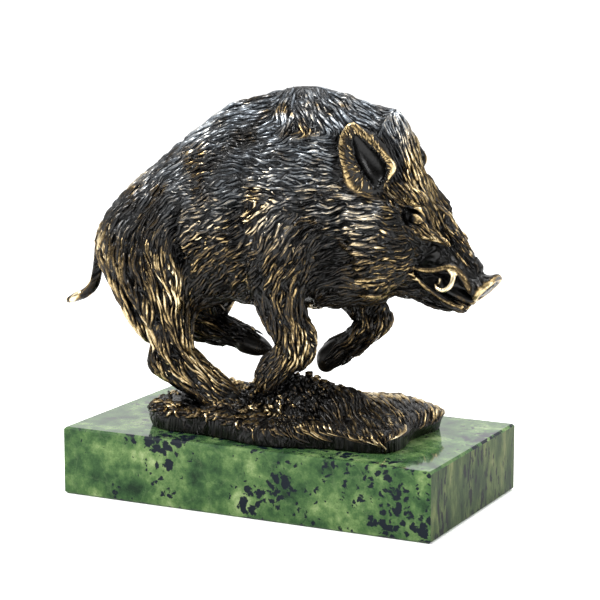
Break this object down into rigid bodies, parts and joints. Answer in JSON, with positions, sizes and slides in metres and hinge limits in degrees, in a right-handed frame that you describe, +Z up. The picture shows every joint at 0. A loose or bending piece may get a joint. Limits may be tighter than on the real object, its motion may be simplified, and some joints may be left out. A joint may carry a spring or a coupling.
{
  "type": "bronze boar sculpture",
  "caption": "Cast bronze figure of a running wild boar on rough ground, fixed to a rectangular slab of polished green serpentine.",
  "frame": {"origin": "middle of the stone plinth's underside", "axes": "+Z up, +X the way the boar runs, along the plinth's long side, +Y to the boar's left"},
  "size_m": [0.1745, 0.078, 0.1487],
  "materials": {
    "bronze": "near-black brown patina, rubbed bright on raised hair, rims and edges",
    "serpentine": "polished, mottled green with blue-black blotches"
  },
  "bodies": {
    "root": {"plinth": "serpentine", "boar_casting": "bronze"}
  },
  "joints": []
}
